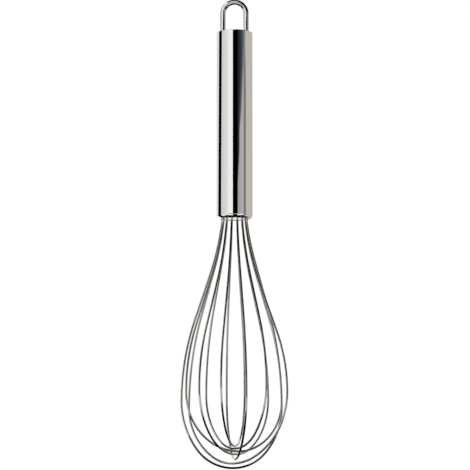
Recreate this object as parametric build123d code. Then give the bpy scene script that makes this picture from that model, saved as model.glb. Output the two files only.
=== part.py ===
from build123d import *
import math
import os
from collections import namedtuple

# A balloon whisk of stainless steel: seven nested wire loops, a closed tube handle and a hanging loop.
# Millimetres. +Z runs up the handle and +X to the right. The origin is where a hook bears,
# in the middle of the underside of the hanging loop's crown.

# Handle
handle_diameter = 23.0
handle_wall = 0.7
handle_length = 120.4
handle_shoulder_radius = 2.6    # the lower end is spun in to a round shoulder
handle_edge_radius = 0.3        # polished edge at the top

# Top cap, a shallow cup pressed into the tube
cap_thickness = 1.0
cap_skirt_wall = 0.8
cap_skirt_length = 5.0
cap_clearance = 0.03

# Hanging loop
hanger_wire_diameter = 3.5
hanger_width = 18.4             # over the outside of both legs
hanger_stand = 22.0             # from the handle's top to the outside of the crown
hanger_inner_length = 9.0       # of each leg, below the handle's top
hanger_clearance = 0.05         # round each leg, in the cap

# Balloon of wire loops
loop_wire_diameter = 1.4
strand_circle_diameter = 15.6   # the circle on which the strands leave the handle
balloon_half_width = 33.0
balloon_drop = 156.8            # from the handle's lip to the lowest loop's centre line
neck_angle = 8.0                # degrees from upright, once a strand has left the neck
neck_bend_radius = 25.0
flare_radius = 182.0
straight_length = 30.0          # between the flare and the rounding above the belly
leg_length = 28.0               # of each strand, inside the handle

# Neck plug, which spaces the strands, and the resin that holds them
plug_body_length = 4.0
plug_recess = 0.3               # from the handle's lip up to the plug's face
plug_clearance = 0.1            # round the plug, in the tube
plug_lip_gap = 0.35             # round the plug's nose, in the tube's mouth
plug_bore_clearance = 0.06      # round each strand, in the plug and the resin
plug_edge_radius = 0.5
resin_length = 24.0
resin_clearance = 0.05          # round the resin, in the tube

# How far a cutting tool runs past what it cuts
overrun = 1.0

# The loops from the outermost to the innermost. azimuth_step counts spaces between strands.
# lift is in wire diameters above the lowest loop, left, right and tip_shift are in balloon half
# widths, belly_left and belly_right, the depths of the widest places, are in the loop's own drop,
# and tip_radius is in the half width of its own side. lean is in degrees, out of the upright plane.
LoopShares = namedtuple(
    "LoopShares", "azimuth_step lift left right tip_shift belly_left belly_right tip_radius lean")
loop_shares = (
    LoopShares(azimuth_step=0, lift=0.0, left=1.01, right=0.90, tip_shift=-0.03, belly_left=0.735,
               belly_right=0.76, tip_radius=0.86, lean=0.0),
    LoopShares(azimuth_step=-1, lift=2.0, left=0.975, right=1.10, tip_shift=-0.07, belly_left=0.775,
               belly_right=0.71, tip_radius=0.80, lean=0.0),
    LoopShares(azimuth_step=-3, lift=3.9, left=0.775, right=0.91, tip_shift=-0.10, belly_left=0.76,
               belly_right=0.72, tip_radius=0.65, lean=0.35),
    LoopShares(azimuth_step=2, lift=6.1, left=1.05, right=1.055, tip_shift=0.07, belly_left=0.72,
               belly_right=0.77, tip_radius=0.92, lean=0.0),
    LoopShares(azimuth_step=1, lift=7.4, left=1.01, right=1.01, tip_shift=0.10, belly_left=0.745,
               belly_right=0.79, tip_radius=0.96, lean=0.0),
    LoopShares(azimuth_step=-2, lift=8.65, left=0.885, right=0.955, tip_shift=-0.02, belly_left=0.77,
               belly_right=0.72, tip_radius=0.85, lean=0.0),
    LoopShares(azimuth_step=3, lift=9.65, left=1.065, right=0.945, tip_shift=0.14, belly_left=0.72,
               belly_right=0.77, tip_radius=0.92, lean=0.2),
)

# Sizes that follow
handle_radius = handle_diameter / 2
handle_bore_radius = handle_radius - handle_wall
lip_radius = handle_radius - handle_shoulder_radius
hanger_wire_radius = hanger_wire_diameter / 2
hanger_bend_radius = (hanger_width - hanger_wire_diameter) / 2
loop_wire_radius = loop_wire_diameter / 2
neck_radius = strand_circle_diameter / 2
strand_spacing = 360 / (2 * len(loop_shares))

# Heights that follow
handle_top = hanger_wire_diameter - hanger_stand
lip_height = handle_top - handle_length
hanger_bend_height = -hanger_bend_radius - hanger_wire_radius + hanger_wire_diameter
plug_face = lip_height + plug_recess
plug_seat = lip_height + handle_shoulder_radius
plug_top = plug_seat + plug_body_length


def bore_cylinder(radius, low, high):
    """An upright cylinder on the Z axis between two heights."""
    return Pos(0, 0, (low + high) / 2) * Cylinder(radius, high - low)


def handle_tube():
    """The tube, turned from its wall's profile: straight, with the lower end spun inward."""
    shoulder_height = lip_height + handle_shoulder_radius
    inner_radius = handle_shoulder_radius - handle_wall
    outer_shoulder = CenterArc((lip_radius, shoulder_height), handle_shoulder_radius, 0, -90)
    inner_shoulder = CenterArc((lip_radius, shoulder_height), inner_radius, -90, 90)
    outline = [
        Line((handle_bore_radius, handle_top), (handle_radius, handle_top)),
        Line((handle_radius, handle_top), (handle_radius, shoulder_height)),
        outer_shoulder,
        Line(outer_shoulder @ 1, inner_shoulder @ 0),
        inner_shoulder,
        Line((handle_bore_radius, shoulder_height), (handle_bore_radius, handle_top)),
    ]
    tube = revolve(Plane.XZ * make_face(outline), Axis.Z)
    top_edges = tube.edges().filter_by(GeomType.CIRCLE).filter_by_position(Axis.Z, handle_top, handle_top)
    return fillet(top_edges.sort_by(SortBy.RADIUS)[-1], min(handle_edge_radius, handle_wall / 2))


def hanger_path():
    """Centre line of the hanging loop: two straight legs and a half-round crown."""
    leg_end = handle_top - hanger_inner_length
    left, right = -hanger_bend_radius, hanger_bend_radius
    return Wire([
        Line((left, 0, leg_end), (left, 0, hanger_bend_height)),
        ThreePointArc((left, 0, hanger_bend_height), (0, 0, hanger_bend_height + hanger_bend_radius),
                      (right, 0, hanger_bend_height)),
        Line((right, 0, hanger_bend_height), (right, 0, leg_end)),
    ])


def hanging_loop():
    """A round bar bent to an upside-down U, its legs welded into the top cap."""
    path = hanger_path()
    return sweep(Plane(origin=path @ 0, z_dir=path % 0) * Circle(hanger_wire_radius), path=path)


def top_cap():
    """A shallow cup, open downward, pressed flush into the tube and bored for the hanging loop's legs."""
    outer_radius = handle_bore_radius - cap_clearance
    skirt_end = handle_top - cap_thickness - cap_skirt_length
    cup = bore_cylinder(outer_radius, skirt_end, handle_top)
    cup -= bore_cylinder(outer_radius - cap_skirt_wall, skirt_end - overrun, handle_top - cap_thickness)
    leg_bore = bore_cylinder(hanger_wire_radius + hanger_clearance, handle_top - cap_thickness - overrun,
                             handle_top + overrun)
    for side in (-1, 1):
        cup -= Pos(side * hanger_bend_radius, 0, 0) * leg_bore
    return cup


def side_edges(half_width, drop, belly_depth, tip_shift, tip_radius):
    """One side of a loop, from the top of its leg to its lowest point.

    x is outward from the whisk's axis and y is up from the handle's lip. The strand bends out of the
    neck, flares, runs straight, rounds over to the belly and comes in on two arcs to the bottom.
    """
    leg = Line((neck_radius, leg_length), (neck_radius, 0))
    neck_bend = CenterArc((neck_radius + neck_bend_radius, 0), neck_bend_radius, 180, neck_angle)

    # The flare starts where the neck bend ends. The rounding above the belly gets the radius
    # that leaves a straight of the wanted length between the two circles.
    lean_out = math.radians(neck_angle)
    flare_centre = (neck_bend @ 1) + Vector(math.cos(lean_out), math.sin(lean_out)) * flare_radius
    inset = flare_centre.X - half_width
    height = flare_centre.Y + belly_depth
    rounding_radius = (inset ** 2 + height ** 2 - flare_radius ** 2 - straight_length ** 2) \
        / (2 * (flare_radius - inset))
    rounding_centre = Vector(half_width - rounding_radius, -belly_depth)

    # Angle of the straight from upright, on the inner tangent of the two circles
    centre_slope = math.atan2(flare_centre.X - rounding_centre.X, height)
    straight_angle = math.degrees(math.atan2(flare_radius + rounding_radius, straight_length) - centre_slope)
    flare = CenterArc(flare_centre, flare_radius, 180 + neck_angle, straight_angle - neck_angle)
    rounding = CenterArc(rounding_centre, rounding_radius, straight_angle, -straight_angle)
    straight = Line(flare @ 1, rounding @ 0)

    # Below the belly, a large side arc meets the tip's arc
    reach = half_width - tip_shift
    tip_height = drop - belly_depth - tip_radius
    side_radius = (reach ** 2 + tip_height ** 2 - tip_radius ** 2) / (2 * (reach - tip_radius))
    side_centre = Vector(half_width - side_radius, -belly_depth)
    tip_centre = Vector(tip_shift, tip_radius - drop)
    join = math.degrees(math.atan2(tip_height, tip_centre.X - side_centre.X))
    side = CenterArc(side_centre, side_radius, 0, -join)
    tip = CenterArc(tip_centre, tip_radius, -join, join - 90)
    return [leg, neck_bend, flare, straight, rounding, side, tip]


def loop_frame(loop):
    """The place of a loop's drawing plane: its y up the handle, turned to its azimuth and lean."""
    return Pos(0, 0, lip_height) * Rot(0, 0, loop.azimuth_step * strand_spacing) * Rot(90 + loop.lean, 0, 0)


def whisk_wire(loop):
    """One wire loop, swept along its two sides."""
    drop = balloon_drop - loop.lift * loop_wire_diameter
    tip_shift = loop.tip_shift * balloon_half_width
    edges = []
    for side, share, belly in ((1, loop.right, loop.belly_right), (-1, loop.left, loop.belly_left)):
        half_width = share * balloon_half_width
        reach = half_width - side * tip_shift
        drawn = side_edges(half_width, drop, belly * drop, side * tip_shift, loop.tip_radius * reach)
        if side > 0:
            edges += drawn
        else:
            edges += [edge.mirror(Plane.YZ) for edge in drawn]
    path = loop_frame(loop) * Wire(edges)
    return sweep(Plane(origin=path @ 0, z_dir=path % 0) * Circle(loop_wire_radius), path=path)


def strand_bores(length):
    """A bore for each strand, along the legs, from below the lip to a height above it."""
    bores = []
    for loop in loop_shares:
        for side in (-1, 1):
            bore = Cylinder(loop_wire_radius + plug_bore_clearance, length + 2 * overrun)
            place = Pos(side * neck_radius, length / 2, 0) * Rot(90, 0, 0)
            bores.append(loop_frame(loop) * place * bore)
    return bores


def neck_plug():
    """A turned plug that rests on the tube's shoulder, with a nose in the mouth and a bore for each strand."""
    body = bore_cylinder(handle_bore_radius - plug_clearance, plug_seat, plug_top)
    body = fillet(body.edges().filter_by(GeomType.CIRCLE), plug_edge_radius)
    plug = body + bore_cylinder(lip_radius - plug_lip_gap, plug_face, plug_seat + plug_edge_radius)
    for bore in strand_bores(plug_top - lip_height):
        plug -= bore
    return plug


def resin_seal():
    """Resin poured on the plug round the strands' legs."""
    resin = bore_cylinder(handle_bore_radius - resin_clearance, plug_top, plug_top + resin_length)
    for bore in strand_bores(leg_length):
        resin -= bore
    return resin


nodes = {
    "handle_tube": handle_tube(),
    "top_cap": top_cap(),
    "hanging_loop": hanging_loop(),
    "neck_plug": neck_plug(),
    "resin_seal": resin_seal(),
}
for number, loop in enumerate(loop_shares, start=1):
    nodes[f"whisk_wire_{number}"] = whisk_wire(loop)

os.makedirs("parts", exist_ok=True)
for name, solid in nodes.items():
    export_step(solid, f"parts/{name}.step")
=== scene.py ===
# %% [markdown]
# # A balloon whisk in polished steel
#
# The whisk has a thin round tube for a handle, a U of round bar to hang it by, and seven nested loops of
# springy wire. There is almost no colour in it: what the eye reads is the room, mirrored in curved metal.
# So this lesson models the pieces smoothly, and then spends as much care on what they mirror.
#
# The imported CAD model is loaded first. It is the fixed frame that every piece is built on, in metres,
# with +Z up the handle and the camera on the -Y side.

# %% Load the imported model
import math

import bpy
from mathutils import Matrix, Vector


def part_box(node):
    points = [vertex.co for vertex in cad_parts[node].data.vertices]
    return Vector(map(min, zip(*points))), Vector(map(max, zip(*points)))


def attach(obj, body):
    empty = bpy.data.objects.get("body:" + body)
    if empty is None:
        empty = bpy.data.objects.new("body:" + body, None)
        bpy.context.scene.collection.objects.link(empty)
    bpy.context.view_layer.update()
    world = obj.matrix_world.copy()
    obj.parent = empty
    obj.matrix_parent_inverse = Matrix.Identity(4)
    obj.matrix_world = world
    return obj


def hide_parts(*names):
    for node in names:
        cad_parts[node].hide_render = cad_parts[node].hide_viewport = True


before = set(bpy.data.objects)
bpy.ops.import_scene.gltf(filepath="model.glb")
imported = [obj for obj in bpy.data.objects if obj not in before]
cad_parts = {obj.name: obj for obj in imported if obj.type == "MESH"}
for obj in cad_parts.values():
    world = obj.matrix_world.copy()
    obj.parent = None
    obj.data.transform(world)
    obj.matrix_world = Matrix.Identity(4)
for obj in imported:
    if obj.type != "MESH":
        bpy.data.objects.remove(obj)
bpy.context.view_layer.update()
print("CAD nodes:", ", ".join(sorted(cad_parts)))

# %% [markdown]
# ## Sizes
#
# These are the whisk's own sizes, written once, in millimetres times `MM`. The places that depend on them,
# such as the height of the handle's lip, are worked out from them. The origin is the middle of the
# underside of the hanging loop's crown, where a hook bears.

# %% Sizes of the handle and the hanging loop
MM = 0.001

handle_radius = 11.5 * MM
handle_wall = 0.7 * MM
handle_length = 120.4 * MM
shoulder_radius = 2.6 * MM
handle_edge_radius = 0.3 * MM

cap_thickness = 1.0 * MM
cap_skirt_wall = 0.8 * MM
cap_skirt_length = 5.0 * MM
cap_clearance = 0.03 * MM
cap_edge_radius = 0.1 * MM

hanger_wire_radius = 1.75 * MM
hanger_bend_radius = 7.45 * MM
hanger_stand = 22.0 * MM
hanger_inner_length = 9.0 * MM
hanger_clearance = 0.05 * MM

handle_top = 2 * hanger_wire_radius - hanger_stand
lip_height = handle_top - handle_length
hanger_bend_height = hanger_wire_radius - hanger_bend_radius
print("handle from", round(lip_height / MM, 1), "to", round(handle_top / MM, 1), "mm")

# %% Sizes of the balloon of wires
loop_wire_radius = 0.7 * MM
neck_radius = 7.8 * MM
balloon_half_width = 33.0 * MM
balloon_drop = 156.8 * MM
neck_angle = math.radians(8)
neck_bend_radius = 25.0 * MM
flare_radius = 182.0 * MM
straight_length = 30.0 * MM
leg_length = 28.0 * MM

# azimuth_step counts the spaces between strands round the handle. lift is in wire diameters above the
# lowest loop. left, right and tip_shift are in balloon half widths, the two bellies in the loop's own
# drop, and tip_radius in the half width of its own side. lean is in degrees.
loop_fields = ("azimuth_step", "lift", "left", "right", "tip_shift", "belly_left", "belly_right",
               "tip_radius", "lean")
loop_shares = [
    dict(zip(loop_fields, row)) for row in (
        (0, 0.0, 1.01, 0.90, -0.03, 0.735, 0.76, 0.86, 0.0),
        (-1, 2.0, 0.975, 1.10, -0.07, 0.775, 0.71, 0.80, 0.0),
        (-3, 3.9, 0.775, 0.91, -0.10, 0.76, 0.72, 0.65, 0.35),
        (2, 6.1, 1.05, 1.055, 0.07, 0.72, 0.77, 0.92, 0.0),
        (1, 7.4, 1.01, 1.01, 0.10, 0.745, 0.79, 0.96, 0.0),
        (-2, 8.65, 0.885, 0.955, -0.02, 0.77, 0.72, 0.85, 0.0),
        (3, 9.65, 1.065, 0.945, 0.14, 0.72, 0.77, 0.92, 0.2),
    )
]
strand_spacing = math.pi / len(loop_shares)
print(len(loop_shares), "loops,", 2 * len(loop_shares), "strands,",
      round(math.degrees(strand_spacing), 1), "degrees apart")

# %% [markdown]
# ## The camera
#
# The whisk hangs upright and the camera stands a metre away, ten centimetres below the whisk's middle,
# with a long lens that looks slightly up. That is why the handle's top edge bows upward in the middle and
# its upper face can't be seen.

# %% Camera
camera_place = Vector((0.3 * MM, -1.040, -0.2515))
camera_tilt_up = math.radians(5.63)
camera_lens = 126.0

bpy.ops.object.camera_add(location=camera_place, rotation=(math.pi / 2 + camera_tilt_up, 0, 0))
camera = bpy.context.object
camera.name = "camera"
camera.data.lens = camera_lens
camera.data.sensor_width = 36.0
camera.data.clip_start, camera.data.clip_end = 0.05, 50.0
bpy.context.scene.camera = camera
bpy.context.scene.view_settings.view_transform = "Standard"
print("camera at", [round(v, 3) for v in camera.location])

# %% [markdown]
# ## Helpers for modelling
#
# Each piece starts as a primitive and is shaped in edit mode. A few small helpers keep those steps
# readable. One clears the selection, because every operator acts on all that is selected. One picks faces
# or edges by a test on their place, and one makes the test that is needed most, whether they lie at a
# height. The last one finishes a piece with its transform applied, its normals outward and its round
# faces smooth.

# %% Select by place
flat_within = 0.01 * MM


def clear_selection():
    """Leaves object mode with nothing selected."""
    if bpy.context.object and bpy.context.object.mode != "OBJECT":
        bpy.ops.object.mode_set(mode="OBJECT")
    bpy.ops.object.select_all(action="DESELECT")


def pick(kind, test):
    """In edit mode, selects only the faces or edges that pass a test on their corners."""
    piece = bpy.context.object
    bpy.ops.mesh.select_mode(type=kind)
    bpy.ops.mesh.select_all(action="DESELECT")
    bpy.ops.object.mode_set(mode="OBJECT")
    mesh = piece.data
    items = mesh.polygons if kind == "FACE" else mesh.edges
    for item in items:
        corners = [piece.matrix_world @ mesh.vertices[i].co for i in item.vertices]
        item.select = test(corners)
    bpy.ops.object.mode_set(mode="EDIT")


def all_at_height(height):
    """A test for faces and edges that lie flat at a height."""
    return lambda corners: all(abs(c.z - height) < flat_within for c in corners)


clear_selection()

# %% Finish a piece
merge_distance = 0.001 * MM
smooth_below = math.radians(35)


def finish_piece(piece, name):
    """Names a piece, puts its place into its mesh, turns its faces outward and smooths its rounds."""
    clear_selection()
    bpy.context.view_layer.objects.active = piece
    piece.select_set(True)
    piece.name = piece.data.name = name
    bpy.ops.object.transform_apply(location=True, rotation=True, scale=True)
    bpy.ops.object.mode_set(mode="EDIT")
    bpy.ops.mesh.select_all(action="SELECT")
    bpy.ops.mesh.remove_doubles(threshold=merge_distance)
    bpy.ops.mesh.normals_make_consistent(inside=False)
    bpy.ops.object.mode_set(mode="OBJECT")
    bpy.ops.object.shade_smooth_by_angle(angle=smooth_below)
    print(name, "has", len(piece.data.polygons), "faces")
    return piece


# %% [markdown]
# ## The handle tube
#
# The real handle is a length of thin tube, mirror polished, with its lower end spun in to a round
# shoulder. A cylinder primitive has the right start: its lower edge is bevelled with many segments into
# the shoulder, its two end faces are deleted, and a Solidify modifier gives the skin its wall. 160 sides
# keep the mirrored strips straight, because a mirror shows every facet.
#
# Smooth shading blends each face into its neighbours. On a side face as long as the handle, the blend into
# the round at its end would bend the reflections all the way along, so a ring of edges is cut close to each
# round and the long faces between stay flat along their length.

# %% Handle tube
handle_sides = 160
shoulder_segments = 14
bpy.ops.mesh.primitive_cylinder_add(
    vertices=handle_sides, radius=handle_radius, depth=handle_length, end_fill_type="NGON",
    location=(0, 0, (handle_top + lip_height) / 2))
handle = bpy.context.object
bpy.ops.object.mode_set(mode="EDIT")
pick("EDGE", all_at_height(lip_height))
bpy.ops.mesh.bevel(offset=shoulder_radius, segments=shoulder_segments, profile=0.5, clamp_overlap=False)
pick("FACE", lambda corners: all_at_height(lip_height)(corners) or all_at_height(handle_top)(corners))
bpy.ops.mesh.delete(type="FACE")
bpy.ops.object.mode_set(mode="OBJECT")

wall = handle.modifiers.new("wall", "SOLIDIFY")
wall.thickness = handle_wall
wall.offset = -1
wall.use_even_offset = True
bpy.ops.object.modifier_apply(modifier="wall")
print("open tube with a wall:", len(handle.data.polygons), "faces")

# %% Polished edge at the top of the tube, and rings of edges close to the rounds
outer_skin = handle_radius - handle_wall / 2
ring_gap = 0.1 * MM
bpy.ops.object.mode_set(mode="EDIT")
pick("EDGE", lambda corners: all_at_height(handle_top)(corners)
     and all(math.hypot(c.x, c.y) > outer_skin for c in corners))
bpy.ops.mesh.bevel(offset=handle_edge_radius, segments=5, profile=0.5, clamp_overlap=False)
for height in (handle_top - handle_edge_radius - ring_gap, lip_height + shoulder_radius + ring_gap):
    bpy.ops.mesh.select_all(action="SELECT")
    bpy.ops.mesh.bisect(plane_co=(0, 0, height), plane_no=(0, 0, 1), threshold=merge_distance)
bpy.ops.object.mode_set(mode="OBJECT")
handle = finish_piece(handle, "polished_handle")

# %% [markdown]
# ## The top cap
#
# A shallow cup, open downward, is pressed into the tube's upper end, and the hanging loop's legs pass
# through it. A cylinder is hollowed from below with an inset and a downward extrude, its upper edge is
# broken with a small bevel, and two cutters bore it with a Boolean modifier, as a drill would.

# %% Top cap
cap_radius = handle_radius - handle_wall - cap_clearance
cap_height = cap_thickness + cap_skirt_length
bpy.ops.mesh.primitive_cylinder_add(
    vertices=128, radius=cap_radius, depth=cap_height, end_fill_type="NGON",
    location=(0, 0, handle_top - cap_height / 2))
cap = bpy.context.object
bpy.ops.object.mode_set(mode="EDIT")
pick("FACE", all_at_height(handle_top - cap_height))
bpy.ops.mesh.inset(thickness=cap_skirt_wall)
bpy.ops.mesh.extrude_region_move(TRANSFORM_OT_translate={"value": (0, 0, cap_skirt_length)})
pick("EDGE", all_at_height(handle_top))
bpy.ops.mesh.bevel(offset=cap_edge_radius, segments=3, profile=0.5)
bpy.ops.object.mode_set(mode="OBJECT")
print("cup,", round(cap_height / MM, 1), "mm high:", len(cap.data.polygons), "faces")

# %% Bores in the cap for the hanging loop's legs
for side in (-1, 1):
    clear_selection()
    bpy.ops.mesh.primitive_cylinder_add(
        vertices=48, radius=hanger_wire_radius + hanger_clearance, depth=4 * cap_thickness,
        location=(side * hanger_bend_radius, 0, handle_top - cap_thickness / 2))
    cutter = bpy.context.object
    clear_selection()
    bpy.context.view_layer.objects.active = cap
    bore = cap.modifiers.new("bore", "BOOLEAN")
    bore.operation = "DIFFERENCE"
    bore.solver = "EXACT"
    bore.object = cutter
    bpy.ops.object.modifier_apply(modifier="bore")
    bpy.data.objects.remove(cutter)
cap = finish_piece(cap, "pressed_cap")

# %% [markdown]
# ## Drawing a round bar along a path
#
# The hanging loop and the wires are all round bar on a path of straights and arcs. A curve with a bevel
# could make them, but here a circle is drawn along by hand: a straight is an extrude and an arc is a
# spin, so each arc has exactly its own centre and radius. Seen from the front, a positive turn is
# counterclockwise.
#
# The surface finish should follow the bar too. Each point keeps its place on the bar as if it were pulled
# straight, in an attribute, so that a pattern can run along the wire without a seam.

# %% A round bar on straights and arcs, in the upright plane
def draw_bar(start, radius, sides, moves, ring_spacing, turn_per_ring):
    """Draws a round bar from a place (x, z), with its first move upright.

    A move is ("line", dx, dz) or ("arc", centre x, centre z, arc radius, turn).
    """
    clear_selection()
    bpy.ops.mesh.primitive_circle_add(vertices=sides, radius=radius, location=(start[0], 0, start[1]))
    bar = bpy.context.object
    bpy.ops.object.mode_set(mode="EDIT")
    bpy.ops.mesh.select_all(action="SELECT")
    for move in moves:
        if move[0] == "line":
            length = math.hypot(move[1], move[2])
            steps = max(1, round(length / (4 * ring_spacing)))
            step = (move[1] / steps, 0, move[2] / steps)
            for _ in range(steps):
                bpy.ops.mesh.extrude_region_move(TRANSFORM_OT_translate={"value": step})
        else:
            centre, arc_radius, turn = (move[1], 0, move[2]), move[3], move[4]
            steps = max(2, math.ceil(abs(turn) * arc_radius / ring_spacing),
                        math.ceil(abs(turn) / turn_per_ring))
            bpy.ops.mesh.spin(steps=steps, angle=turn, center=centre, axis=(0, 1, 0))
    bpy.ops.object.mode_set(mode="OBJECT")
    keep_straightened(bar, radius, sides)
    bpy.ops.object.mode_set(mode="EDIT")
    bpy.ops.mesh.select_all(action="SELECT")
    bpy.ops.mesh.fill_holes(sides=0)
    bpy.ops.object.mode_set(mode="OBJECT")
    return bar


def keep_straightened(bar, radius, sides):
    """Stores each point's place on the bar as if it were straight, in metres."""
    points = bar.data.vertices
    straight = bar.data.attributes.new("straightened", "FLOAT_VECTOR", "POINT")
    along, last_middle = 0.0, None
    for first in range(0, len(points), sides):
        middle = sum((points[first + k].co for k in range(sides)), Vector()) / sides
        if last_middle is not None:
            along += (middle - last_middle).length
        last_middle = middle
        for k in range(sides):
            angle = 2 * math.pi * k / sides
            straight.data[first + k].vector = (radius * math.cos(angle), radius * math.sin(angle), along)


# %% [markdown]
# ## The hanging loop
#
# A round bar is bent to an upside-down U: a leg, a half turn about the crown's centre, and a leg. The
# turn is clockwise from the left leg to the right one, so it is negative.

# %% Hanging loop
leg_end = handle_top - hanger_inner_length
leg_rise = hanger_bend_height - leg_end
hanger = draw_bar(
    start=(-hanger_bend_radius, leg_end), radius=hanger_wire_radius, sides=40,
    moves=[
        ("line", 0, leg_rise),
        ("arc", 0, hanger_bend_height, hanger_bend_radius, -math.pi),
        ("line", 0, -leg_rise),
    ],
    ring_spacing=0.8 * MM, turn_per_ring=math.radians(4))
hanger = finish_piece(hanger, "hanging_bar")

# %% [markdown]
# ## The whisk wires
#
# Each wire is one closed loop: it leaves the handle, bends out of the neck, flares, runs straight, rounds
# over to the balloon's belly and comes in on two arcs to the bottom, and then does the same the other way
# up. Neighbouring arcs share a tangent, so the wire has no kinks. The radius of the rounding is the one
# that leaves a straight of the wanted length, and the radius of the side is the one that meets both the
# belly and the tip's arc.

# %% The arcs of one side of a loop
def side_moves(half_width, drop, belly_depth, tip_shift, tip_radius):
    """Moves from the top of a leg down to the loop's lowest point. x is outward, z up from the lip."""
    bend_centre = Vector((neck_radius + neck_bend_radius, 0))
    out = Vector((math.cos(neck_angle), math.sin(neck_angle)))
    flare_centre = bend_centre - out * neck_bend_radius + out * flare_radius
    inset = flare_centre.x - half_width
    height = flare_centre.y + belly_depth
    rounding_radius = (inset ** 2 + height ** 2 - flare_radius ** 2 - straight_length ** 2) \
        / (2 * (flare_radius - inset))
    rounding_centre = Vector((half_width - rounding_radius, -belly_depth))
    centre_slope = math.atan2(flare_centre.x - rounding_centre.x, height)
    straight_angle = math.atan2(flare_radius + rounding_radius, straight_length) - centre_slope

    reach = half_width - tip_shift
    tip_height = drop - belly_depth - tip_radius
    side_radius = (reach ** 2 + tip_height ** 2 - tip_radius ** 2) / (2 * (reach - tip_radius))
    side_centre = Vector((half_width - side_radius, -belly_depth))
    tip_centre = Vector((tip_shift, tip_radius - drop))
    join = math.atan2(tip_height, tip_centre.x - side_centre.x)
    run = Vector((math.sin(straight_angle), -math.cos(straight_angle))) * straight_length
    return [
        ("line", 0, -leg_length),
        ("arc", *bend_centre, neck_bend_radius, neck_angle),
        ("arc", *flare_centre, flare_radius, straight_angle - neck_angle),
        ("line", *run),
        ("arc", *rounding_centre, rounding_radius, -straight_angle),
        ("arc", *side_centre, side_radius, -join),
        ("arc", *tip_centre, tip_radius, join - math.pi / 2),
    ]


def mirrored_back(moves):
    """The same side, mirrored to the left and drawn from the bottom up."""
    back = []
    for move in reversed(moves):
        if move[0] == "line":
            back.append(("line", move[1], -move[2]))
        else:
            back.append(("arc", -move[1], *move[2:]))
    return back


# %% The seven wires
wires = []
for number, loop in enumerate(loop_shares, start=1):
    drop = balloon_drop - loop["lift"] * 2 * loop_wire_radius
    tip_shift = loop["tip_shift"] * balloon_half_width
    sides = []
    for side, hand in ((1, "right"), (-1, "left")):
        half_width = loop[hand] * balloon_half_width
        belly_depth = loop[f"belly_{hand}"] * drop
        tip_radius = loop["tip_radius"] * (half_width - side * tip_shift)
        sides.append(side_moves(half_width, drop, belly_depth, side * tip_shift, tip_radius))
    wire = draw_bar(
        start=(neck_radius, leg_length), radius=loop_wire_radius, sides=16,
        moves=sides[0] + mirrored_back(sides[1]),
        ring_spacing=2.0 * MM, turn_per_ring=math.radians(4))
    clear_selection()
    wire.select_set(True)
    bpy.ops.object.origin_set(type="ORIGIN_CURSOR")
    wire.rotation_euler = (math.radians(loop["lean"]), 0, loop["azimuth_step"] * strand_spacing)
    wire.location = (0, 0, lip_height)
    wires.append(finish_piece(wire, f"balloon_wire_{number}"))

# %% Compare each wire's box with its CAD node
for number, wire in enumerate(wires, start=1):
    low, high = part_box(f"whisk_wire_{number}")
    mesh_low = Vector(min(v.co[i] for v in wire.data.vertices) for i in range(3))
    mesh_high = Vector(max(v.co[i] for v in wire.data.vertices) for i in range(3))
    print(wire.name, "is off its node's box by", round(max(
        max(abs(a - b) for a, b in zip(low, mesh_low)),
        max(abs(a - b) for a, b in zip(high, mesh_high))) / MM, 3), "mm")

# %% [markdown]
# ## Finishes
#
# Polished steel is a mirror with a faint direction: the buffing leaves lines too fine to see, which
# soften a reflection a little more across them than along them. Two node groups hold what the finishes
# share. One makes fine lines along an axis, as grinding, drawing and turning all leave. The other makes
# the soft patches of a surface that hands touch.

# %% Node group: fine lines along the Z axis
def group_socket(group, name, direction, kind, value=None):
    """Adds one named input or output to a node group."""
    socket = group.interface.new_socket(name=name, in_out=direction, socket_type=kind)
    if value is not None:
        socket.default_value = value
    return socket


def wire_up(tree, node, output, target, entry):
    """Links an output of one node to an input of another."""
    tree.links.new(node.outputs[output], target.inputs[entry])


tool_lines = bpy.data.node_groups.new("tool_lines", "ShaderNodeTree")
group_socket(tool_lines, "Vector", "INPUT", "NodeSocketVector")
group_socket(tool_lines, "Across", "INPUT", "NodeSocketFloat", 4000.0)
group_socket(tool_lines, "Along", "INPUT", "NodeSocketFloat", 20.0)
group_socket(tool_lines, "Lines", "OUTPUT", "NodeSocketFloat")

nodes = tool_lines.nodes
group_in, group_out = nodes.new("NodeGroupInput"), nodes.new("NodeGroupOutput")
stretch = nodes.new("ShaderNodeCombineXYZ")
for axis, source in (("X", "Across"), ("Y", "Across"), ("Z", "Along")):
    wire_up(tool_lines, group_in, source, stretch, axis)
scaled = nodes.new("ShaderNodeVectorMath")
scaled.operation = "MULTIPLY"
wire_up(tool_lines, group_in, "Vector", scaled, 0)
wire_up(tool_lines, stretch, 0, scaled, 1)
grain = nodes.new("ShaderNodeTexNoise")
grain.inputs["Scale"].default_value = 1.0
grain.inputs["Detail"].default_value = 3.0
wire_up(tool_lines, scaled, 0, grain, "Vector")
wire_up(tool_lines, grain, "Fac", group_out, "Lines")
print("group tool_lines:", len(nodes), "nodes")

# %% Node group: soft patches left by handling
handling = bpy.data.node_groups.new("handling_patches", "ShaderNodeTree")
group_socket(handling, "Vector", "INPUT", "NodeSocketVector")
group_socket(handling, "Size", "INPUT", "NodeSocketFloat", 60.0)
group_socket(handling, "Low", "INPUT", "NodeSocketFloat", 0.05)
group_socket(handling, "High", "INPUT", "NodeSocketFloat", 0.10)
group_socket(handling, "Value", "OUTPUT", "NodeSocketFloat")

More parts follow.
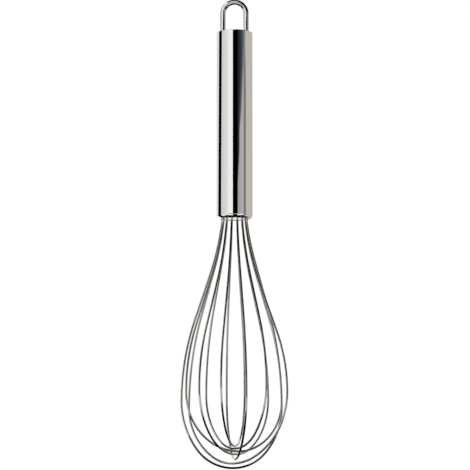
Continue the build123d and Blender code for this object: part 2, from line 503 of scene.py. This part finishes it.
nodes = handling.nodes
group_in, group_out = nodes.new("NodeGroupInput"), nodes.new("NodeGroupOutput")
cloud = nodes.new("ShaderNodeTexNoise")
cloud.inputs["Detail"].default_value = 4.0
cloud.inputs["Roughness"].default_value = 0.6
wire_up(handling, group_in, "Vector", cloud, "Vector")
wire_up(handling, group_in, "Size", cloud, "Scale")
spread = nodes.new("ShaderNodeMapRange")
spread.inputs["From Min"].default_value = 0.35
spread.inputs["From Max"].default_value = 0.65
wire_up(handling, cloud, "Fac", spread, "Value")
wire_up(handling, group_in, "Low", spread, "To Min")
wire_up(handling, group_in, "High", spread, "To Max")
wire_up(handling, spread, "Result", group_out, "Value")
print("group handling_patches:", len(nodes), "nodes")

# %% [markdown]
# A steel finish is then a Principled shader, fully metallic, with a roughness that wanders between two
# values and a very shallow bump from the tool's lines. The base colour carries a trace of mottling, so
# that no surface is one flat value.

# %% A steel finish
def steel(name, dark, light, rough_low, rough_high, across, along, depth, attribute=None):
    """A metallic finish with tool lines along Z, or along the bar if it keeps an attribute."""
    material = bpy.data.materials.new(name)
    material.use_nodes = True
    tree = material.node_tree
    shader = tree.nodes["Principled BSDF"]
    shader.inputs["Metallic"].default_value = 1.0
    if attribute:
        place = tree.nodes.new("ShaderNodeAttribute")
        place.attribute_name = attribute
        place_output = "Vector"
    else:
        place = tree.nodes.new("ShaderNodeTexCoord")
        place_output = "Object"
    lines = tree.nodes.new("ShaderNodeGroup")
    lines.node_tree = tool_lines
    lines.inputs["Across"].default_value = across
    lines.inputs["Along"].default_value = along
    wire_up(tree, place, place_output, lines, "Vector")
    patches = tree.nodes.new("ShaderNodeGroup")
    patches.node_tree = handling
    patches.inputs["Low"].default_value = rough_low
    patches.inputs["High"].default_value = rough_high
    wire_up(tree, place, place_output, patches, "Vector")
    wire_up(tree, patches, "Value", shader, "Roughness")
    tint = tree.nodes.new("ShaderNodeMix")
    tint.data_type = "RGBA"
    tint.inputs["A"].default_value = (*dark, 1)
    tint.inputs["B"].default_value = (*light, 1)
    wire_up(tree, lines, "Lines", tint, "Factor")
    tree.links.new(tint.outputs["Result"], shader.inputs["Base Color"])
    bump = tree.nodes.new("ShaderNodeBump")
    bump.inputs["Strength"].default_value = 0.5
    bump.inputs["Distance"].default_value = depth
    wire_up(tree, lines, "Lines", bump, "Height")
    wire_up(tree, bump, "Normal", shader, "Normal")
    return material


# %% Steel for the handle, the bar, the wires and the plug
polished_steel = steel("polished_steel", dark=(0.79, 0.79, 0.78), light=(0.83, 0.83, 0.82),
                       rough_low=0.015, rough_high=0.035, across=3000.0, along=15.0, depth=0.0001 * MM)
bar_steel = steel("bar_steel", dark=(0.78, 0.78, 0.77), light=(0.83, 0.83, 0.82),
                  rough_low=0.03, rough_high=0.05, across=4000.0, along=40.0, depth=0.0002 * MM,
                  attribute="straightened")
wire_steel = steel("wire_steel", dark=(0.60, 0.59, 0.575), light=(0.70, 0.69, 0.675),
                   rough_low=0.04, rough_high=0.08, across=5000.0, along=60.0, depth=0.0005 * MM,
                   attribute="straightened")
turned_steel = steel("turned_steel", dark=(0.80, 0.80, 0.79), light=(0.86, 0.86, 0.85),
                     rough_low=0.08, rough_high=0.14, across=5000.0, along=5000.0, depth=0.0005 * MM)
print("steel finishes:", polished_steel.name, bar_steel.name, wire_steel.name, turned_steel.name)

# %% [markdown]
# Above the plug, poured resin holds the strands' legs. It is sealed inside the handle, so it gets a plain
# cast finish: amber, slightly cloudy and not quite smooth.

# %% Cast resin
cast_resin = bpy.data.materials.new("cast_resin")
cast_resin.use_nodes = True
tree = cast_resin.node_tree
shader = tree.nodes["Principled BSDF"]
place = tree.nodes.new("ShaderNodeTexCoord")
cloud = tree.nodes.new("ShaderNodeTexNoise")
cloud.inputs["Scale"].default_value = 220.0
cloud.inputs["Detail"].default_value = 5.0
wire_up(tree, place, "Object", cloud, "Vector")
amber = tree.nodes.new("ShaderNodeValToRGB")
amber.color_ramp.elements[0].color = (0.40, 0.30, 0.15, 1)
amber.color_ramp.elements[1].color = (0.56, 0.46, 0.28, 1)
wire_up(tree, cloud, "Fac", amber, "Fac")
wire_up(tree, amber, "Color", shader, "Base Color")
shader.inputs["Roughness"].default_value = 0.4
print("finish:", cast_resin.name)

# %% Put the finishes on the pieces
def give(piece, material):
    """Makes a material the piece's only one."""
    piece.data.materials.clear()
    piece.data.materials.append(material)
    for face in piece.data.polygons:
        face.material_index = 0


finishes = {handle: polished_steel, cap: polished_steel, hanger: bar_steel}
for wire in wires:
    finishes[wire] = wire_steel
finishes[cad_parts["neck_plug"]] = turned_steel
finishes[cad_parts["resin_seal"]] = cast_resin
for piece, finish in finishes.items():
    give(piece, finish)
print("finishes given to", len(finishes), "pieces")

# %% [markdown]
# ## The floor and the white surroundings
#
# The whisk is photographed on plain white. The world is white to the camera and to mirrored rays at
# strength 1, and dimmer as a lamp, so that it doesn't wash out what it lights. The floor lies below the
# hanging whisk. It is pale, and is lifted to white for the camera and in reflections, so it fades into the
# surroundings but still takes the whisk's shadow.

# %% White surroundings
def seen_or_mirrored(tree):
    """A node whose output 0 is 1 for camera, glossy and transmission rays, and 0 for the rest."""
    path = tree.nodes.new("ShaderNodeLightPath")
    either = tree.nodes.new("ShaderNodeMath")
    either.operation = "MAXIMUM"
    wire_up(tree, path, "Is Camera Ray", either, 0)
    wire_up(tree, path, "Is Glossy Ray", either, 1)
    any_of_them = tree.nodes.new("ShaderNodeMath")
    any_of_them.operation = "MAXIMUM"
    wire_up(tree, either, 0, any_of_them, 0)
    wire_up(tree, path, "Is Transmission Ray", any_of_them, 1)
    return any_of_them


strength_as_lamp, strength_when_seen = 0.75, 1.0
surroundings = bpy.data.worlds.new("surroundings")
bpy.context.scene.world = surroundings
surroundings.use_nodes = True
tree = surroundings.node_tree
background = tree.nodes["Background"]
background.inputs["Color"].default_value = (1, 1, 1, 1)
level = tree.nodes.new("ShaderNodeMapRange")
level.inputs["To Min"].default_value = strength_as_lamp
level.inputs["To Max"].default_value = strength_when_seen
wire_up(tree, seen_or_mirrored(tree), 0, level, "Value")
wire_up(tree, level, "Result", background, "Strength")
print("surroundings: strength", strength_when_seen, "when seen,", strength_as_lamp, "as a lamp")

# %% Floor
floor_height = -0.46
clear_selection()
bpy.ops.mesh.primitive_plane_add(size=6.0, location=(0, 0, floor_height))
floor = bpy.context.object
floor.name = "floor"
pale_floor = bpy.data.materials.new("pale_floor")
pale_floor.use_nodes = True
tree = pale_floor.node_tree
paint = tree.nodes["Principled BSDF"]
paint.inputs["Base Color"].default_value = (0.82, 0.82, 0.82, 1)
paint.inputs["Roughness"].default_value = 0.9
paint.inputs["Specular IOR Level"].default_value = 0.0
glow = tree.nodes.new("ShaderNodeEmission")
glow.inputs["Color"].default_value = (0.42, 0.42, 0.42, 1)
wire_up(tree, seen_or_mirrored(tree), 0, glow, "Strength")
both = tree.nodes.new("ShaderNodeAddShader")
tree.links.new(paint.outputs["BSDF"], both.inputs[0])
wire_up(tree, glow, "Emission", both, 1)
wire_up(tree, both, "Shader", tree.nodes["Material Output"], "Surface")
give(floor, pale_floor)
print("floor at", floor_height, "m")

# %% [markdown]
# ## Cards and flags
#
# A mirror in a white room looks flat, so a photographer of polished metal stands cards round it: black
# flags draw the dark lines that give a round bar its form, and grey or warm cards tone the rest. A
# cylinder mirrors a narrow card as a thin upright strip, about half as far round as the card stands.
#
# Each card here is a plane that nothing lights and that only reflections see, so it darkens no other
# surface and never hides the whisk from the camera. A card's corners are given by azimuth, in degrees from
# the camera's side and positive to the right, and by height. A card that leans shows as a strip that
# leans. Cards that overlap are set a little apart, so that each place has one clear tone.
#
# The shoulder curves under and mirrors what lies straight below it. A black patch on the floor there
# draws the dark line along the handle's lower edge.

# %% The finish of a card
def card_finish(name, colours):
    """An even tone that no lamp changes, or a blend of several from a card's first side to its last."""
    material = bpy.data.materials.new(name)
    material.use_nodes = True
    tree = material.node_tree
    tone = tree.nodes.new("ShaderNodeEmission")
    tone.inputs["Color"].default_value = (*colours[0], 1)
    if len(colours) > 1:
        place = tree.nodes.new("ShaderNodeTexCoord")
        across = tree.nodes.new("ShaderNodeSeparateXYZ")
        blend = tree.nodes.new("ShaderNodeValToRGB")
        stops = blend.color_ramp.elements
        stops[0].color = (*colours[0], 1)
        stops[1].color = (*colours[-1], 1)
        for number, colour in enumerate(colours[1:-1], start=1):
            stops.new(number / (len(colours) - 1)).color = (*colour, 1)
        wire_up(tree, place, "UV", across, 0)
        wire_up(tree, across, "X", blend, "Fac")
        wire_up(tree, blend, "Color", tone, "Color")
    wire_up(tree, tone, "Emission", tree.nodes["Material Output"], "Surface")
    return material


# %% A card between four corners, seen only in reflections
def place_card(name, corners, colours):
    """A plane with its four corners pulled to their places: low first, low last, high first, high last."""
    clear_selection()
    bpy.ops.mesh.primitive_plane_add(size=1)
    card = bpy.context.object
    card.name = name
    for number, place in enumerate(corners):
        for vertex in card.data.vertices:
            vertex.select = vertex.index == number
        for part in (*card.data.edges, *card.data.polygons):
            part.select = False
        shift = place - card.data.vertices[number].co
        bpy.ops.object.mode_set(mode="EDIT")
        bpy.ops.mesh.select_mode(type="VERT")
        bpy.ops.transform.translate(value=shift)
        bpy.ops.object.mode_set(mode="OBJECT")
    give(card, card_finish(name, colours))
    card.visible_camera = False
    card.visible_diffuse = False
    card.visible_transmission = False
    card.visible_volume_scatter = False
    card.visible_shadow = False
    card.visible_glossy = True
    print("card:", name)


# %% Cards that stand or lie round the whisk, and level black ones
def round_the_whisk(azimuth, distance, height):
    """The place at an azimuth, a distance and a height from the handle's axis."""
    angle = math.radians(azimuth)
    return Vector((distance * math.sin(angle), -distance * math.cos(angle), height))


def standing_card(name, low_edge, high_edge, *colours, distance=1.3):
    """A card between two edges, each given as (first azimuth, last azimuth, height)."""
    place_card(name, [round_the_whisk(azimuth, distance, edge[2])
                      for edge in (low_edge, high_edge) for azimuth in edge[:2]], colours)


def lying_card(name, first, last, near, far, *colours, height=floor_height + 0.01):
    """A level card, on the floor if no height is given, between two azimuths and two distances."""
    place_card(name, [round_the_whisk(azimuth, distance, height)
                      for distance in (near, far) for azimuth in (first, last)], colours)


black = (0.0, 0.0, 0.0)


def level_flag(name, left_right, near_far, height):
    """A level black card, between two places across and two in depth."""
    place_card(name, [Vector((x, y, height)) for y in near_far for x in left_right], [black])


# %% Tones all round, from the floor up
warm, warm_grey = (0.62, 0.585, 0.52), (0.55, 0.54, 0.50)
foot, head = -0.44, 0.60
for name, first, last, colours in (
        ("card_left_back", -178, -126, [(0.93, 0.93, 0.92), (0.76, 0.76, 0.75)]),
        ("card_left", -95, -36, [(0.74, 0.74, 0.73), (0.80, 0.80, 0.79), (0.98, 0.98, 0.97)]),
        ("card_right_front", 18, 61, [(0.40, 0.40, 0.39), (0.47, 0.47, 0.455), (0.52, 0.52, 0.50)]),
        ("card_right_low", 61, 77, [(0.46, 0.46, 0.44)]),
        ("card_right", 77, 126, [warm]),
        ("card_right_back", 126, 179, [warm_grey])):
    standing_card(name, (first, last, foot), (first, last, head), *colours, distance=1.4)
lying_card("card_right_foot", 77, 126, 0.15, 1.4, warm)
lying_card("card_right_back_foot", 126, 179, 0.15, 1.4, warm_grey)

# %% The black flags that the handle shows as two strips
front_strip = (-11.3, 20.3)
flag_top = 0.285
foot_near = 0.19
standing_card("flag_front", (*front_strip, foot), (*front_strip, flag_top), black)
standing_card("flag_front_top", (12, 28, 0.225), (12, 30, flag_top), black, distance=1.29)
lying_card("flag_front_foot", *front_strip, foot_near, 1.3, black, height=floor_height + 0.02)
standing_card("flag_left_low", (-134, -97, foot), (-126, -95, 0.03), black)
standing_card("flag_left", (-126, -95, 0.03), (-118, -89, 0.29), black)
lying_card("flag_left_foot", -134, -97, foot_near, 1.3, black, height=floor_height + 0.02)

# %% An olive strip beside the warm card
olive = (0.235, 0.225, 0.19)
olive_strip = (60.5, 77.5)
standing_card("flag_right_low", (*olive_strip, foot), (*olive_strip, 0.20), olive, distance=1.37)
standing_card("flag_right_high", (*olive_strip, 0.20), (61, 70, flag_top), olive, distance=1.37)
lying_card("flag_right_foot", *olive_strip, foot_near, 1.37, olive, height=floor_height + 0.02)

# %% A dark blue flag with a soft edge, which narrows down the handle
navy_blend = [(0.003, 0.003, 0.004), (0.017, 0.020, 0.025), (0.038, 0.048, 0.060), (0.11, 0.13, 0.15),
              (0.36, 0.36, 0.35)]
standing_card("flag_navy_low", (12, 20, 0.05), (12, 41, 0.13), *navy_blend, distance=1.35)
standing_card("flag_navy_high", (12, 41, 0.13), (12, 70, 0.27), *navy_blend, distance=1.35)

# %% Dark room above and behind, and a dark patch on the floor
nearly_black = (0.02, 0.02, 0.02)
for number in range(5):
    first, last = 4 + 22 * number, 26 + 22 * number
    foot_over = 0.27 if number < 3 else 0.36
    standing_card(f"flag_over_right_{number + 1}", (first, last, foot_over), (first, last, 1.1), black)
for number in range(2):
    first, last = -130 + 24 * number, -106 + 24 * number
    standing_card(f"flag_over_left_{number + 1}", (first, last, 0.277), (first, last, 1.6), nearly_black)
level_flag("flag_above", (-0.5, 1.9), (-1.25, 0.7), height=1.0)
level_flag("flag_below", (-0.3, 0.3), (-0.1, 0.4), height=floor_height + 0.03)

# %% [markdown]
# ## Small flags for the wires and the hanging loop
#
# Thin bright wire on white almost disappears, so a photographer flags it too. The camera looks up at the
# handle, whose upright sides then mirror only what is higher still. Flags that stay lower darken the wires
# and leave the handle alone. The front wires lean toward the camera as they leave the handle and mirror
# what is above them, so a small slanted flag sits close under the shoulder for them. The far wires get one
# that hangs inside the balloon.
#
# The hanging loop's crown is a bar that lies level, so it mirrors what is below it and in front. A shelf
# stands there: its white top gives the crown its bright middle, its black underside serves the wires. A
# tiny flag in the loop's eye draws the dark line along the crown's underside.

# %% Flags low in front and under the balloon's tip
standing_card("flag_balloon", (-30, 40, -0.40), (-30, 40, -0.04), black, distance=1.23)
level_flag("flag_under_tip", (-0.1, 0.1), (-0.105, 0.08), height=-0.31)

# %% Flags close to the wires, one under the shoulder and one inside the balloon
place_card("flag_under_shoulder", [Vector((x, y, z)) for y, z in ((-0.06, -0.198), (-0.0105, -0.1395))
                                   for x in (-0.035, 0.035)], [black])
place_card("flag_inside", [Vector((x, 0.002, z)) for z in (-0.245, -0.15) for x in (-0.009, 0.009)],
           [black])

# %% The shelf in front, with a black strip on its near edge, and the flag in the eye
lying_card("shelf_top", -60, 60, 0.2, 1.1, (1.0, 1.0, 1.0), height=-0.160)
lying_card("shelf_underside", -60, 60, 0.2, 1.1, black, height=-0.165)
standing_card("flag_shelf_edge", (*front_strip, -0.162), (*front_strip, -0.142), black, distance=0.2)
level_flag("flag_in_eye", (-0.0045, 0.0025), (-0.005, 0.005), height=-0.0035)

# %% [markdown]
# ## Lamps
#
# Two soft panels light the scene. The key stands on the left of the camera, and its own reflection is the
# bright band down the handle. A mirror would add the white surroundings behind the panel to it, so a black
# card stands there as the lamp's housing. The fill is behind the whisk, on the right.

# %% Lamps
def soft_panel(name, azimuth, height, distance, width, tall, radiance):
    """An area lamp that faces the whisk. Its radiance is what a mirror shows of it."""
    place = round_the_whisk(azimuth, distance, height)
    bpy.ops.object.light_add(type="AREA", location=place)
    lamp = bpy.context.object
    lamp.name = name
    lamp.data.shape = "RECTANGLE"
    lamp.data.size, lamp.data.size_y = width, tall
    lamp.data.energy = radiance * math.pi * width * tall
    aim = Vector((0, 0, height)) - place
    lamp.rotation_euler = aim.to_track_quat("-Z", "Y").to_euler()
    lamp.visible_camera = False
    return lamp


clear_selection()
key = soft_panel("key", azimuth=-24, height=0.15, distance=1.25, width=0.56, tall=0.36, radiance=1.05)
standing_card("key_housing", (-36.4, -11.6, foot), (-36.4, -11.6, 0.36), black, distance=1.31)
fill = soft_panel("fill", azimuth=165, height=0.2, distance=1.6, width=0.8, tall=0.8, radiance=1.2)
print("lamps:", round(key.data.energy, 2), "W and", round(fill.data.energy, 2), "W")

# %% [markdown]
# ## Ride and replace
#
# Nothing on the whisk moves, so every piece rides on the one body. The new pieces stand for their CAD
# nodes. The plug and the resin are shown as the CAD made them.

# %% Tie the pieces to the frame
replacements = {
    handle: ("handle_tube", "polished_steel"),
    cap: ("top_cap", "polished_steel"),
    hanger: ("hanging_loop", "hanger_steel"),
}
for number, wire in enumerate(wires, start=1):
    replacements[wire] = (f"whisk_wire_{number}", "wire_steel")
for piece, (node, slot) in replacements.items():
    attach(piece, "root")
    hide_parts(node)
print(len(replacements), "pieces replace their CAD nodes")
